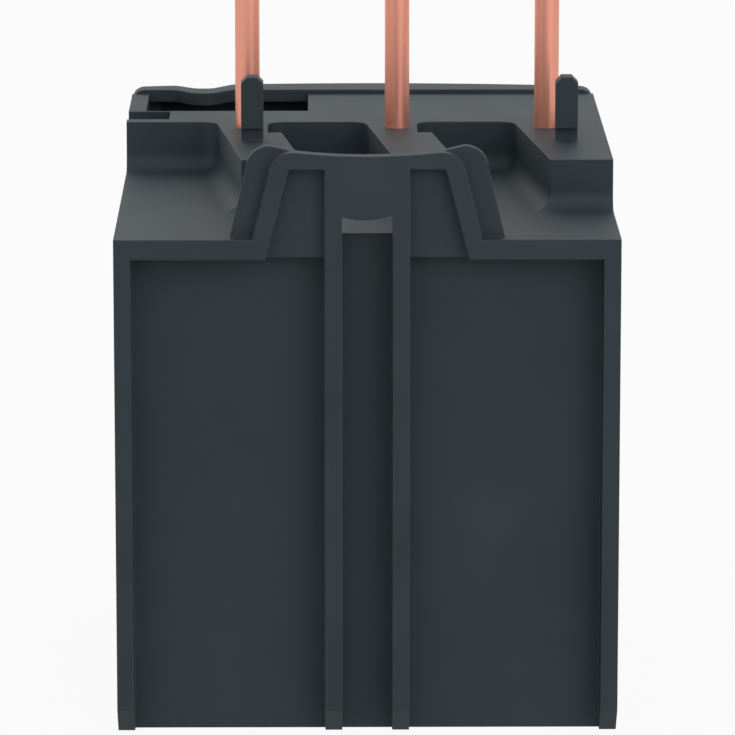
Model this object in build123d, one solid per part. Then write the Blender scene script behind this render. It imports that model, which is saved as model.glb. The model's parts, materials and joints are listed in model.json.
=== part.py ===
from build123d import *
import os
from math import cos, pi, radians, sin

# Plug-in thermal overload relay, 45 mm wide, seen from its mounting side in the photograph.
# Origin under the middle of the body. The operator faces the -Y side, the plug pins point to +Z.
# Depths are counted from the rear face, which lies at +Y, towards the operator.

# Overall form
body_width = 45.0
shelf_height = 45.5
block_height = 4.6
pin_reach = 16.2
front_face = 66.0
side_wall = 1.52
rear_wall = 1.65
floor_wall = 1.6
top_wall = 1.85

# Steps of the front
power_face = 50.0
ledge_low = 14.5
aux_face = 60.0
aux_top = 27.0
bevel_drop = 5.3
bevel_wall = 1.8
cover_wall = 1.5
flange_front = 58.2
flange_bow = 2.1
flange_step = 0.4
flange_thickness = 1.2
parting = 54.1

# Rear face: borders, ribs and hump
panel_recess = 3.35
panel_margin = 1.8
rib_inner = 2.25
rib_width = 1.53
foot_chamfer = 2.47
hump_wall = 1.4
hump_back_start = 1.2
hump_back_end = 2.1
hump_recess = 1.3
hump_rise = 7.8
hump_dip = 0.35
hump_back_rise = 8.2
hump_back_dip = 1.1
hump_shoulder = (8.75, 5.7)
hump_corner = (8.1, 7.2)
hump_crown = 6.4
hump_splay = 1.95
hump_back_grow = (2.0, 0.45)
hump_back_crown = 8.5
recess_low = (9.35, 9.05)
recess_shoulder = (7.1, 5.8)
recess_top = (6.9, 6.3)
window_rise = 1.75
window_lift = (0.5, 0.3)

# Deck: block, bridges, pins, hooks, pocket
block_rear = 36.9
bridge_end = 15.3
bridge_slant = 0.127
bridge_outer = 3.1
bridge_inner = 1.88
bridge_step = 1.32
bridge_step_depth = 30.7
pin_radius = 1.15
pin_root_half = 0.9
pin_pitch = 14.06
pin_depth = 34.0
pin_first_x = -17.13
pin_clearance = 0.05
pin_tip_chamfer = 0.4
cove_radius = 1.6
hook_width = 2.05
hook_rear = 25.4
hook_head_depth = 2.0
hook_foot_depth = 1.3
hook_rise = 6.0
hook_head_gap = 1.2
hook_chamfer = 0.55
hook_places = (-18.70, 10.46)
pocket_x = (5.33, 20.85)
pocket_rear = 43.5
pocket_front = 57.4
pocket_sink = 6.2
pocket_wall = 1.2
notch_x = 18.5
notch_rear = 38.55
notch_front = 43.2
notch_depth = 1.0
groove_x = (-15.5, 5.3)
groove_width = 0.25
groove_depth = 1.0
scoop_centre = 15.5
scoop_half = 2.8
scoop_flat = 0.8
scoop_sweep = 2.3
scoop_radius = 1.5
scoop_run = 0.9

# Phase units: strips, heaters, bars and clamps
phase_pitch = pin_pitch
strip_thickness = 1.0
strip_width = 5.0
strip_depth = 20.0
strip_low = 5.0
strip_proud = 4.6
heater_low = 13.0
heater_top = 34.0
heater_gap = 0.3
heater_wall = 1.0
heater_rib = 0.5
heater_turns = 8
lead_thickness = 0.8
lead_low = 30.0
lead_top = 33.5
pin_tail_low = 29.0
pin_tail_top = 35.0
bar_thickness = 1.2
bar_foot_top = 12.0
bar_arm_low = 12.4
bar_arm_top = 15.4
bar_step = (24.6, 27.0)
bar_plate_low = 3.0
bar_plate_half = 3.2
wire_rear = 37.8
wire_space = 5.8
clamp_wall = 1.0
clamp_play = 0.2
clamp_half = 4.4
clamp_low = 3.6
clamp_height = 8.0
barrier_depth = 30.0
barrier_wall = 1.4
partition_wall = 1.2
power_entry_half = 3.9
block_floor_top = 1.6
insert_rear = 35.0
power_screw_z = 7.6
power_screw_radius = 2.0
power_head_radius = 3.1
power_head_height = 2.0
power_bore_radius = 2.7
power_head_gap = 0.2
screw_clearance = 0.05
screw_slot_share = 0.36

# Auxiliary terminals
aux_places = (-16.2, -5.4, 5.4, 16.2)
aux_wire_rear = 50.0
aux_wire_space = 4.4
aux_clamp_wall = 0.8
aux_clamp_half = 3.3
aux_clamp_low = 17.5
aux_clamp_height = 6.2
aux_entry_half = 2.7
aux_plate_half = 2.5
aux_plate_low = 16.8
aux_plate_top = 25.6
aux_tab_height = 1.7
aux_plate_thickness = 0.8
aux_screw_z = 21.0
aux_screw_radius = 1.5
aux_head_radius = 2.7
aux_head_height = 1.6
aux_head_gap = 0.4
aux_bore_radius = 2.3

# Trip slides across the strips
slide_hang = 9.2
slide_thickness = 1.6
slide_gap = 0.3
slide_rear = 16.5
slide_front = 25.5
slide_left = -17.6
slide_right = 16.4
slide_travel = 1.2
slide_lag = 0.6
lever_pivot_x = 1.5
lever_pivot_depth = 29.0
lever_peg_depth = 24.5
lever_tip_depth = 41.0
lever_thickness = 1.2
lever_half = 1.0
lever_ear = 2.5
lever_hub_radius = 2.2
lever_fork_wall = 0.9
lever_fork_end = 1.2
lever_post_radius = 1.0
lever_peg_radius = 0.7
lever_collar = 0.6
running_fit = 0.05
free_gap = 0.3
overlap = 1.0

# Chassis, adjusting lever and compensating strip
chassis_rear = 52.4
chassis_thickness = 1.5
chassis_low = 27.2
chassis_top = 42.0
chassis_gap = 1.58
chassis_window = (7.6, 11.7)
chassis_window_low = 32.6
rail_thickness = 1.4
rail_heights = ((28.0, 33.4), (39.6, 42.0))
pivot_pin_radius = 0.8
adjuster_x = 4.0
adjuster_z = 30.0
adjuster_rear = 50.4
adjuster_thickness = 1.4
adjuster_swing = 4.0
compensator_x = 6.3
compensator_thickness = 0.7
compensator_low = 36.5
compensator_top = 41.5
compensator_rear = 40.0

# Setting dial and cam
dial_x = -11.0
dial_z = 37.2
dial_radius = 6.2
dial_flange_radius = 6.8
dial_flange_sink = (3.4, 2.3)
dial_proud = 1.6
dial_slot_share = 0.62
dial_shaft_radius = 2.5
dial_swing = 120.0
dial_slot_width = 1.4
dial_slot_depth = 1.2
cam_radius = 3.6
cam_rear = 50.2
cam_front = 52.0
cam_steps = 12

# Push buttons
button_x = 13.8
reset_z = 39.4
stop_z = 32.6
button_radius = 2.8
button_sink = 4.2
button_proud = 1.9
button_chamfer = 0.4
stem_radius = 1.5
stem_rear = 51.6
spring_wire = 0.5
spring_turns = 5
spring_steps = 8
spring_clearance = 0.15

# Mode selector and trip indicator
selector_x = 3.4
selector_z = 35.0
selector_radius = 2.4
selector_flange_radius = 3.0
selector_sink = 3.2
selector_proud = 1.0
selector_flange = 1.3
selector_slot_depth = 0.9
selector_slot_half = 0.5
indicator_half = 1.7
indicator_low = 42.9
indicator_top = 44.3
indicator_proud = 0.3
indicator_prong = 1.15

# Trip lever and contacts
trip_x = 0.0
trip_z = 40.0
trip_hub_radius = 1.7
trip_hub_proud = 0.6
trip_rear = 56.0
trip_front = 57.6
trip_angle = 14.5
trip_arm_half = 0.7
trip_arm_gap = 0.2
trip_root = 1.4
trip_tail_x = (8.2, 9.4)
trip_tail_z = (34.6, 37.2)
trip_tail_rear = 44.0
trip_tail_bend = (36.2, 38.2)
fork_low = 34.6
fork_notch_top = 37.2
fork_notch_half = 0.9
fork_half = 5.0
contact_arm_low = 26.0
contact_arm_top = 36.0
contact_arm_thickness = 0.5
contact_arm_rear = 55.4
contact_arm_front = 58.2
nc_arm_x = -3.15
no_arm_x = 3.35
contact_z = 32.0
contact_radius = 1.0
contact_rivet = (0.65, 0.4)
contact_button = 0.5
contact_gap = 0.95
closed_gap = 0.05
fixed_tab_top = 34.2
run_low = 26.0
run_top = 28.0

# Clear flap over the controls
flap_margin = 1.2
flap_low = 28.0
flap_top = 46.3
flap_gap = 2.4
flap_thickness = 1.3
flap_lip = 0.3
flap_tab_drop = 1.0
flap_axis_gap = 1.2
flap_axis_z = 28.2
flap_pin_radius = 0.6
flap_ear_radius = 0.95
flap_ear_inset = (2.2, 0.9)
flap_lug_inset = (4.1, 2.5)
flap_window_gap = 0.4
flap_tab_top = 47.3

# Snap tongues of the front cover
tongue_z = (22.0, 34.0)
tongue_rear = 47.0
tongue_thickness = 0.9
tongue_root = 3.0
tongue_clearance = 0.05
snap_window = (49.0, 52.0)
snap_height = 5.0
snap_barb = 1.0
snap_play = 0.2
snap_barb_margin = 0.3
pin_proud = (0.6, 1.4)

# Worked out from the sizes above
half_width = body_width / 2
inner_half = half_width - side_wall
flap_rear = front_face + flap_gap
body_depth = flap_rear + flap_thickness + flap_lip
rear_y = body_depth / 2
deck_height = shelf_height + block_height
pin_top = deck_height + pin_reach
panel_top = shelf_height - panel_margin
hook_top = deck_height + hook_rise
hook_head_low = deck_height + hook_head_gap
pocket_floor = deck_height - pocket_sink
flange_top = deck_height + flange_step
bevel_low = flange_top - bevel_drop
slope = bevel_drop / (front_face - flange_front)
slope_share = slope / (1 + slope * slope) ** 0.5
inner_front = front_face - cover_wall
slide_low = shelf_height - slide_hang
strip_top = slide_low + strip_proud
flap_half = half_width - flap_margin
flap_axis_depth = front_face + flap_axis_gap
flap_ear = [flap_half - inset for inset in flap_ear_inset]
flap_lug = [flap_half - inset for inset in flap_lug_inset]
chassis_half = inner_half - chassis_gap
dial_flange_rear, dial_flange_front = [front_face - sink for sink in dial_flange_sink]
dial_front = front_face + dial_proud
button_rear = front_face - button_sink
button_front = front_face + button_proud
selector_rear = front_face - selector_sink
selector_front = front_face + selector_proud
indicator_front = front_face + indicator_proud
cavity_rear = panel_recess + rear_wall
cavity_top = shelf_height - top_wall
parting_low = power_face - cover_wall
ledge_top = ledge_low + cover_wall
rib_outer = rib_inner + rib_width
panel_half = half_width - side_wall
deck_under = deck_height - top_wall
flange_under = flange_top - flange_thickness
phases = [(i - 1) * phase_pitch for i in range(3)]
pins = [pin_first_x + i * pin_pitch for i in range(3)]
bar_plate_rear = wire_rear + wire_space
aux_plate_rear = aux_wire_rear + aux_wire_space
second_slide_low = slide_low + slide_thickness + slide_gap
lever_low = second_slide_low + slide_thickness + slide_gap
chassis_front = chassis_rear + chassis_thickness
indicator_z = (indicator_low + indicator_top) / 2
indicator_travel = (indicator_z - trip_z) * radians(trip_angle)


def prism_x(points, x0, x1):
    """A profile of (depth, z) points, run from x0 to x1."""
    plane = Plane(origin=(x1, rear_y, 0), x_dir=(0, -1, 0), z_dir=(-1, 0, 0))
    return extrude(plane * Polygon(*points, align=None), x1 - x0)


def prism_y(outline, d0, d1):
    """A front view outline, a face or (x, z) points, run from depth d0 to d1."""
    plane = Plane(origin=(0, rear_y - d0, 0), x_dir=(1, 0, 0), z_dir=(0, -1, 0))
    face = Polygon(*outline, align=None) if isinstance(outline, (list, tuple)) else outline
    return extrude(plane * face, d1 - d0)


def prism_z(points, z0, z1):
    """A plan of (x, depth) points, run from z0 to z1."""
    face = Polygon(*[(x, rear_y - d) for x, d in points], align=None)
    return Pos(0, 0, z0) * extrude(face, z1 - z0)


def block(x0, x1, d0, d1, z0, z1):
    """A box between two x, two depths and two heights."""
    size = Box(x1 - x0, d1 - d0, z1 - z0)
    return Pos((x0 + x1) / 2, rear_y - (d0 + d1) / 2, (z0 + z1) / 2) * size


def rod_x(depth, z, radius, x0, x1):
    """A cylinder along X."""
    return Pos((x0 + x1) / 2, rear_y - depth, z) * Rot(0, 90, 0) * Cylinder(radius, x1 - x0)


def rod_y(x, z, radius, d0, d1):
    """A cylinder along Y."""
    return Pos(x, rear_y - (d0 + d1) / 2, z) * Rot(90, 0, 0) * Cylinder(radius, d1 - d0)


def rod_z(x, depth, radius, z0, z1):
    """A cylinder along Z."""
    return Pos(x, rear_y - depth, (z0 + z1) / 2) * Cylinder(radius, z1 - z0)


def mirrored(shape):
    """The shape and its copy on the other side."""
    return shape + mirror(shape, Plane.YZ)


def save(name, shape):
    """Writes one sub-part."""
    export_step(shape, f"parts/{name}.step")


def bridge(pin_x, reaches_side):
    """A slanted rib from the block to the hooks, which carries one plug pin."""
    outer_root = pin_x + bridge_outer
    outer_end = outer_root - bridge_slant * (block_rear - bridge_end)
    inner_root = pin_x - bridge_inner
    inner_step = inner_root - bridge_step
    inner_end = inner_step - bridge_slant * (bridge_step_depth - bridge_end)
    if reaches_side:
        plan = [(outer_root, block_rear + 1), (outer_end, bridge_end), (-half_width, bridge_end)]
        plan += [(-half_width, block_rear + 1)]
    else:
        plan = [(outer_root, block_rear + 1), (outer_end, bridge_end), (inner_end, bridge_end)]
        plan += [(inner_step, bridge_step_depth), (inner_root, bridge_step_depth),
                 (inner_root, block_rear + 1)]
    return prism_z(plan, shelf_height - 1, deck_height)


def hump_outline(grow_x, grow_z, crown_x, rise, dip):
    """The hump's outline in front view, with rounded corners and a top that dips in the middle."""
    shoulder_x, shoulder_z = hump_shoulder[0] + grow_x, shelf_height + hump_shoulder[1] + grow_z
    corner_x, corner_z = hump_corner[0] + grow_x, shelf_height + hump_corner[1] + grow_z
    foot_x, foot_z = shoulder_x + hump_splay, shelf_height - overlap * 2
    crown_z = shelf_height + rise
    side = Line((foot_x, foot_z), (shoulder_x, shoulder_z))
    turn = ThreePointArc((shoulder_x, shoulder_z), (corner_x, corner_z), (crown_x, crown_z))
    top = ThreePointArc((crown_x, crown_z), (0, crown_z - dip), (-crown_x, crown_z))
    turn_back = ThreePointArc((-crown_x, crown_z), (-corner_x, corner_z), (-shoulder_x, shoulder_z))
    side_back = Line((-shoulder_x, shoulder_z), (-foot_x, foot_z))
    base = Line((-foot_x, foot_z), (foot_x, foot_z))
    return make_face(Curve() + [side, turn, top, turn_back, side_back, base])


def hump():
    """The raised tongue in the middle of the rear edge, with its window over the channel."""
    front = hump_outline(0, 0, hump_crown, hump_rise, hump_dip)
    back = hump_outline(*hump_back_grow, hump_back_crown, hump_back_rise, hump_back_dip)
    return prism_y(front, 0, hump_wall) + prism_y(back, hump_back_start, hump_back_end)


def hump_cuts():
    """The hump's two recesses and the window between the ribs."""
    recess_roof = shelf_height + recess_top[1]
    recess = prism_y([(rib_outer, panel_top - 1), (recess_low[0], panel_top - 1), (recess_low[1], panel_top),
                      (recess_shoulder[0], shelf_height + recess_shoulder[1]),
                      (recess_top[0], recess_roof), (rib_outer, recess_roof)], -1, hump_recess)
    window_top = shelf_height + window_rise
    left_top, right_top = window_top + window_lift[0], window_top + window_lift[1]
    arch = ThreePointArc((-rib_inner, left_top), (0, window_top), (rib_inner, right_top))
    left = Line((-rib_inner, left_top), (-rib_inner, shelf_height))
    low = Line((-rib_inner, shelf_height), (rib_inner, shelf_height))
    right = Line((rib_inner, shelf_height), (rib_inner, right_top))
    window = prism_y(make_face(Curve() + [arch, left, low, right]), -1, hump_back_end + 1)
    return mirrored(recess) + window


def hook(x):
    """One hook: a narrow foot with a head that reaches over to the rear."""
    foot_rear = hook_rear + hook_head_depth - hook_foot_depth
    x0, x1 = x - hook_width / 2, x + hook_width / 2
    outline = [(x0, hook_head_low), (x1, hook_head_low), (x1, hook_top - hook_chamfer)]
    outline += [(x1 - hook_chamfer, hook_top), (x0 + hook_chamfer, hook_top), (x0, hook_top - hook_chamfer)]
    head = prism_y(outline, hook_rear, hook_rear + hook_head_depth)
    return head + block(x0, x1, foot_rear, hook_rear + hook_head_depth, deck_height - overlap, hook_head_low)


def housing():
    """The moulded rear case."""
    case = prism_x([(0, 0), (parting_low, 0), (parting_low, ledge_top), (parting, ledge_top),
                    (parting, deck_height), (block_rear, deck_height), (block_rear, shelf_height),
                    (0, shelf_height)], -half_width, half_width)
    for i, pin_x in enumerate(pins):
        case += bridge(pin_x, reaches_side=(i == 0))
    coves = [e for e in case.edges().filter_by(GeomType.LINE)
             if abs(e.center().Z - shelf_height) < 0.01 and e.center().Y < rear_y - bridge_end + 0.01
             and (abs(e.center().X) < half_width - 0.01)]
    corners = [e for e in case.edges().filter_by(Axis.Z)
               if shelf_height < e.center().Z < deck_height
               and abs(e.center().Y - (rear_y - block_rear)) < 0.01
               and abs(e.center().X) < half_width - 0.01]
    case = fillet(coves + corners, cove_radius)
    case += hump()
    hollow = block(-inner_half, inner_half, cavity_rear, parting_low + 1, floor_wall, cavity_top)
    hollow += block(-inner_half, inner_half, parting_low, parting + 1, ledge_top - 1, cavity_top)
    hollow += block(-inner_half, inner_half, block_rear + top_wall, parting + 1, cavity_top - 1, deck_under)
    case -= hollow
    case -= block(pocket_x[0], pocket_x[1], pocket_rear, parting + 1, deck_under - 1, deck_height + 1)
    case -= block(notch_x, half_width + 1, notch_rear, notch_front,
                  deck_height - notch_depth, deck_height + 1)
    case -= block(groove_x[0], groove_x[1], parting - groove_width, parting + 1,
                  deck_height - groove_depth, deck_height + 1)
    for side in (-1, 1):
        x0, x1 = sorted((side * rib_outer, side * panel_half))
        case -= block(x0, x1, -1, panel_recess, -1, panel_top)
    case -= block(-rib_inner, rib_inner, -1, panel_recess, -1, shelf_height + 0.01)
    case -= hump_cuts()
    case -= prism_x([(-0.01, -0.01), (foot_chamfer, -0.01), (-0.01, foot_chamfer)],
                    -half_width - 1, half_width + 1)
    case -= block(-inner_half, inner_half, insert_rear, parting_low + 1, -1, floor_wall + 1)
    for low, top in rail_heights:
        case += mirrored(block(chassis_half - rail_thickness, inner_half, chassis_rear - rail_thickness,
                               chassis_rear, low, top))
    for pin_x in pins:
        case -= pin_root(pin_x, pin_root_half + pin_clearance, cavity_top - 1, deck_height + 1)
    for x in hook_places:
        case += hook(x)
    return case - snap_windows()


def pocket_liner():
    """Floor and walls of the link pocket, under its opening in the deck."""
    liner = block(pocket_x[0] - pocket_wall, inner_half, pocket_rear - pocket_wall, parting,
                  pocket_floor - pocket_wall, deck_under)
    return liner - block(pocket_x[0], inner_half + 1, pocket_rear, parting + 1, pocket_floor, deck_under + 1)


def strip_carrier():
    """Partitions between the three strips, open for the trip slides, tied by the barrier at their foot."""
    carrier = block(-inner_half, inner_half, barrier_depth, barrier_depth + barrier_wall, floor_wall,
                    bar_arm_low)
    for x in (-phase_pitch / 2, phase_pitch / 2):
        x0, x1 = x - partition_wall / 2, x + partition_wall / 2
        wall = block(x0, x1, cavity_rear, barrier_depth, floor_wall, cavity_top)
        wall -= block(x0 - 1, x1 + 1, slide_rear - free_gap, slide_front + free_gap,
                      slide_low - free_gap, second_slide_low + slide_thickness + free_gap)
        carrier += wall
    return carrier


def terminal_floor():
    """The floor under the power clamps, with its wire openings and the walls between the clamps."""
    plate = block(-inner_half, inner_half, insert_rear, parting_low, 0, block_floor_top)
    for x in phases:
        plate -= block(x - power_entry_half, x + power_entry_half, wire_rear - free_gap,
                       bar_plate_rear + free_gap, -1, block_floor_top + 1)
    for x in (-phase_pitch / 2, phase_pitch / 2):
        plate += block(x - partition_wall / 2, x + partition_wall / 2, insert_rear, parting_low,
                       block_floor_top, ledge_low)
    return plate


def snap_windows():
    """The windows in the side walls that the cover's tongues snap into."""
    windows = Part()
    for z in tongue_z:
        windows += block(-half_width - 1, -inner_half + 1, snap_window[0], snap_window[1],
                         z, z + snap_height)
    return mirrored(windows)


def front_cover():
    """The moulded front: flange, bevel, control face, auxiliary terminals and power terminals."""
    cover = prism_x([(parting_low, 0), (power_face, 0), (power_face, ledge_low), (aux_face, ledge_low),
                     (aux_face, aux_top), (front_face, aux_top), (front_face, bevel_low),
                     (flange_front, flange_top), (parting, flange_top), (parting, ledge_top),
                     (parting_low, ledge_top)], -half_width, half_width)
    edges = [e for e in cover.edges() if abs(abs(e.center().X) - half_width) < 0.01
             and e.center().Y < rear_y - power_face - 0.01 and e.center().Z > ledge_low
             and abs(e.center().Y - (rear_y - parting)) > 0.01]
    cover = fillet(edges, cover_wall * 0.8)
    inner_bevel = bevel_low - bevel_wall * slope
    cover -= prism_x([(parting - 1, ledge_top), (aux_face - cover_wall, ledge_top),
                      (aux_face - cover_wall, aux_top + cover_wall), (inner_front, aux_top + cover_wall),
                      (inner_front, inner_bevel),
                      (inner_front - (flange_under - inner_bevel) / slope, flange_under),
                      (parting - 1, flange_under)], -inner_half, inner_half)
    cover += scoop_backing()
    cover += pocket_lining()
    cover -= bevel_cut()
    for x in phases:
        cover -= rod_y(x, power_screw_z, power_bore_radius, parting_low - 1, power_face + 1)
    for x in aux_places:
        cover -= rod_y(x, aux_screw_z, aux_bore_radius, aux_face - cover_wall - 1, aux_face + 1)
        cover -= block(x - aux_entry_half, x + aux_entry_half, aux_wire_rear - running_fit * 2,
                       aux_plate_rear + running_fit * 2, ledge_low - 1, ledge_top + 1)
    cover -= rod_y(dial_x, dial_z, dial_radius + free_gap, inner_front - 1, front_face + 1)
    cover -= rod_y(selector_x, selector_z, selector_radius + running_fit, inner_front - 1, front_face + 1)
    for z in (reset_z, stop_z):
        cover -= rod_y(button_x, z, button_radius + free_gap, inner_front - 1, front_face + 1)
    cover -= block(-indicator_half - indicator_travel - free_gap, indicator_half + free_gap,
                   inner_front - bevel_wall, front_face + 1, indicator_low - free_gap,
                   indicator_top + free_gap)
    return cover + flap_lugs() + tongues()


def wave(points, back):
    """A face between a straight line at back and a line through the points with rounded bends."""
    bends = FilletPolyline(*points, radius=scoop_radius)
    close = Polyline(points[-1], (points[-1][0], back), (points[0][0], back), points[0])
    return make_face(Curve() + [bends, close])


def scoop_points(level, bottom):
    """The finger scoop's bends: level gives the height beside it for each x, bottom that of its flat."""
    outer = scoop_half + scoop_run
    points = [(x, level(x)) for x in (scoop_centre - outer, scoop_centre - scoop_half)]
    points += [(scoop_centre - scoop_flat, bottom), (scoop_centre + scoop_flat, bottom)]
    return points + [(x, level(x)) for x in (scoop_centre + scoop_half, scoop_centre + outer)]


def scoop_backing():
    """Thicker wall under the finger scoop, and the flange's wave into the pocket."""
    x0, x1 = scoop_centre - scoop_half, scoop_centre + scoop_half
    drop = (scoop_sweep + flange_bow) * slope
    z_front = bevel_low - bevel_wall * slope
    run = inner_front - (parting + cover_wall)
    backing = prism_x([(inner_front, z_front + 0.3), (inner_front, z_front - drop),
                       (inner_front - run, z_front - drop + run * slope),
                       (inner_front - run, flange_under + 0.1)], x0 - cover_wall, x1 + cover_wall)
    edge = rear_y - parting
    lip = extrude(wave(scoop_points(lambda x: edge, edge + scoop_sweep), edge - overlap), flange_thickness)
    limit = block(-half_width, half_width, parting - overlap, front_face, 0, flange_top)
    return (backing & limit) + Pos(0, 0, flange_under) * lip


def bow(x):
    """How far the bevel lies behind its middle at x, square to its slope."""
    return -flange_bow * slope_share * (x / half_width) ** 2


def bevel_cut():
    """Bows the bevel towards the sides and sinks the finger scoop into it."""
    down = Vector(0, -1, -slope).normalized()
    start = Vector(0, rear_y - flange_front, flange_top) - down * flange_front
    plane = Plane(origin=start, x_dir=(1, 0, 0), z_dir=down)
    side = half_width + 1
    arc = ThreePointArc((-side, bow(side)), (0, 0), (side, bow(side)))
    lid = Polyline((side, bow(side)), (side, cover_wall), (-side, cover_wall), (-side, bow(side)))
    bottom = bow(scoop_centre) - scoop_sweep * slope_share
    scoop = wave(scoop_points(bow, bottom), cover_wall)
    outline = make_face(Curve() + [arc, lid]) + scoop
    return extrude(plane * outline, flange_front * 2)


def pocket_lining():
    """The pocket's end under the flange."""
    lining = block(pocket_x[0] - pocket_wall, inner_half, parting, pocket_front + pocket_wall,
                   pocket_floor - pocket_wall, flange_under)
    return lining - block(pocket_x[0], pocket_x[1], parting - 1, pocket_front, pocket_floor, flange_under)


def flap_lugs():
    """Two lugs with bores for the flap's pins."""
    lug = rod_x(flap_axis_depth, flap_axis_z, flap_ear_radius, *flap_lug)
    lug += block(flap_lug[0], flap_lug[1], front_face - overlap / 2, flap_axis_depth,
                 flap_axis_z - flap_ear_radius, flap_axis_z + flap_ear_radius)
    lug -= rod_x(flap_axis_depth, flap_axis_z, flap_pin_radius + running_fit, flap_lug[0] - 1,
                 flap_lug[1] + 1)
    return mirrored(lug)


def tongues():
    """Snap tongues that reach into the case along its side walls."""
    outer = inner_half - tongue_clearance
    parts = Part()
    for z in tongue_z:
        parts += block(outer - tongue_thickness, outer, tongue_rear, parting, z, z + snap_height)
        parts += block(outer - tongue_thickness, inner_half + side_wall / 2, parting, parting + tongue_root,
                       z, z + snap_height)
        barb = [(outer, snap_window[0] + snap_play), (outer, snap_window[1] - snap_play),
                (outer + snap_barb, snap_window[1] - snap_play)]
        parts += prism_z(barb, z + snap_barb_margin, z + snap_height - snap_barb_margin)
    return mirrored(parts)


def pin_root(x, half, z0, z1):
    """A pin's square root, which keeps it from turning in the deck."""
    return block(x - half, x + half, pin_depth - half, pin_depth + half, z0, z1)


def plug_pin(x):
    """A copper pin on a square root, with a flattened tail for the heater's lead."""
    pin = rod_z(x, pin_depth, pin_radius, deck_height, pin_top)
    pin = chamfer(pin.edges().group_by(Axis.Z)[-1], pin_tip_chamfer)
    pin += pin_root(x, pin_root_half, pin_tail_top, deck_height)
    return pin + block(x - lead_thickness / 2, x + lead_thickness / 2, pin_depth - pin_root_half,
                       pin_depth + pin_root_half, pin_tail_low, pin_tail_top + overlap / 2)


def heater(x, pin_x):
    """A ribbed heater sleeve around the strip, with the lead to its pin."""
    half_x = strip_thickness / 2 + heater_gap + heater_wall
    half_d = strip_width / 2 + heater_gap + heater_wall
    centre = Pos(x, rear_y - strip_depth, heater_low)
    body = centre * extrude(Rectangle(half_x * 2, half_d * 2), heater_top - heater_low)
    pitch = (heater_top - heater_low) / heater_turns
    rib = extrude(Rectangle((half_x + heater_rib) * 2, (half_d + heater_rib) * 2), pitch / 2)
    for i in range(heater_turns):
        body += centre * Pos(0, 0, pitch * (i + 0.25)) * rib
    body -= block(x - strip_thickness / 2 - heater_gap, x + strip_thickness / 2 + heater_gap,
                  strip_depth - strip_width / 2 - heater_gap, strip_depth + strip_width / 2 + heater_gap,
                  heater_low - 1, heater_top + 1)
    lead_x = pin_x + lead_thickness / 2
    lead_rear = strip_depth + strip_width / 2 + heater_gap + heater_wall / 2
    lead = block(lead_x, lead_x + lead_thickness, lead_rear, pin_depth + pin_root_half, lead_low, lead_top)
    lead += block(lead_x, x, lead_rear, strip_depth + half_d + heater_rib, lead_low, lead_top)
    return body + lead


def bimetal(x):
    """A bimetal strip that stands on its bar and reaches through both slides."""
    return block(x - strip_thickness / 2, x + strip_thickness / 2, strip_depth - strip_width / 2,
                 strip_depth + strip_width / 2, strip_low, strip_top)


def terminal_bar(x):
    """A copper bar from the strip's foot, over the barrier, to the clamp."""
    x0 = x + strip_thickness / 2
    foot_end, step_end = bar_step[1], bar_step[0]
    side = [(strip_depth - strip_width / 2, strip_low), (foot_end, strip_low), (foot_end, bar_arm_low),
            (bar_plate_rear + bar_thickness, bar_arm_low), (bar_plate_rear + bar_thickness, bar_arm_top),
            (step_end, bar_arm_top), (step_end, bar_foot_top), (strip_depth - strip_width / 2, bar_foot_top)]
    bar = prism_x(side, x0, x0 + bar_thickness)
    plate = block(x - bar_plate_half, x + bar_plate_half, bar_plate_rear, bar_plate_rear + bar_thickness,
                  bar_plate_low, bar_arm_top)
    return bar + plate


def box_clamp(x, half, wall, wire_start, space, plate, low, height, screw_z, screw_radius):
    """A box clamp round a terminal plate, threaded for its screw in the front wall."""
    front = wire_start + space + plate + clamp_play
    clamp = block(x - half, x + half, wire_start - wall, front + wall, low, low + height)
    clamp -= block(x - half + wall, x + half - wall, wire_start, front, low - 1, low + height + 1)
    return clamp - rod_y(x, screw_z, screw_radius + screw_clearance, front - 1, front + wall + 1)


def clamp_screw(x, z, radius, head_radius, head_height, tip, head_rear):
    """A slotted clamp screw, wound back to take a wire."""
    screw = rod_y(x, z, radius, tip, head_rear)
    screw += rod_y(x, z, head_radius, head_rear, head_rear + head_height)
    slot = head_radius * screw_slot_share
    return screw - block(x - head_radius - 1, x + head_radius + 1, head_rear + head_height * 0.5,
                         head_rear + head_height + 1, z - slot / 2, z + slot / 2)


def aux_strip(x, contact_x, forward_x, run, tab_top, button_side):
    """An auxiliary terminal's strip, with its run across and the tab for a contact or a contact arm."""
    front = aux_plate_rear + aux_plate_thickness
    strip = block(x - aux_plate_half, x + aux_plate_half, aux_plate_rear, front, aux_plate_low,
                  run_top if run else aux_plate_top)
    tab0, tab1 = forward_x, forward_x + aux_plate_thickness
    if run:
        strip += block(min(x, tab0), max(x, tab1), aux_plate_rear, front, run_low, run_top)
        strip += block(tab0, tab1, aux_plate_rear, contact_arm_front, run_low, tab_top)
        button = (tab1, contact_x) if button_side > 0 else (contact_x, tab0)
        strip += rod_x((contact_arm_rear + contact_arm_front) / 2, contact_z, contact_radius, *button)
    else:
        strip += block(tab0, tab1, aux_plate_rear, contact_arm_front, aux_plate_top - aux_tab_height,
                       aux_plate_top)
    return strip


def trip_slide(low):
    """A slide plate with one slot for each strip."""
    plate = block(slide_left, slide_right, slide_rear, slide_front, low, low + slide_thickness)
    for x in phases:
        plate -= block(x - strip_thickness / 2 - slide_travel - slide_lag - free_gap,
                       x + strip_thickness / 2 + free_gap + slide_lag,
                       strip_depth - strip_width / 2 - free_gap, strip_depth + strip_width / 2 + free_gap,
                       low - 1, low + slide_thickness + 1)
    return plate


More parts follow.
